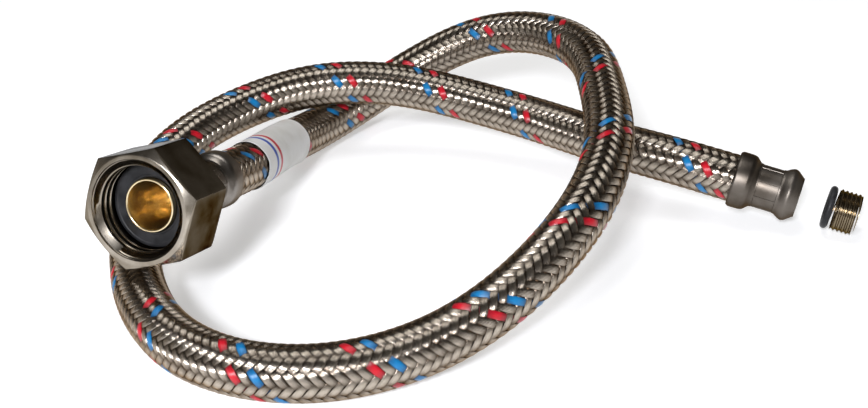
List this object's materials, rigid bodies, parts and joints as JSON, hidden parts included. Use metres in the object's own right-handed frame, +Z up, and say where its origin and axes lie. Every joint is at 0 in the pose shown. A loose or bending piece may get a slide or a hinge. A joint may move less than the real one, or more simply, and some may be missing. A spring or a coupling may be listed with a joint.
{
  "type": "flexible supply hose",
  "caption": "Braided steel flexible supply hose lying in a loop, with a swivelling union nut on one end and a threaded stem with an O-ring on the other.",
  "frame": {"origin": "on the surface that the hose lies on, below the middle of the box around the two end fittings", "axes": "+Z up; the union nut's axis lies in a plane of constant X and its mouth looks along -Y and a little up; +X runs from the nut end towards the stem end"},
  "size_m": [0.1734, 0.1547, 0.0398],
  "materials": {
    "nickel": "bright nickel plate, lightly turned",
    "ferrule_steel": "bright rolled stainless steel",
    "brass": "polished bore",
    "steel_wire": "bright drawn wire",
    "black_rubber": "matt",
    "tube_rubber": "matt",
    "white_film": "satin film"
  },
  "bodies": {
    "hose": {"wire_braid": "steel_wire", "inner_tube": "tube_rubber", "label": "white_film", "nut_insert": "brass", "flat_washer": "black_rubber", "nut_ferrule": "ferrule_steel", "m10_ferrule": "ferrule_steel", "m10_stem": "nickel", "o_ring": "black_rubber"},
    "nut": {"union_nut": "nickel"}
  },
  "joints": [
    {"name": "nut_spin", "type": "hinge", "parent": "hose", "child": "nut", "pos_m": [-0.06424, -0.02933, 0.02371], "axis": [0, -0.9711, 0.2385], "continuous": true}
  ]
}
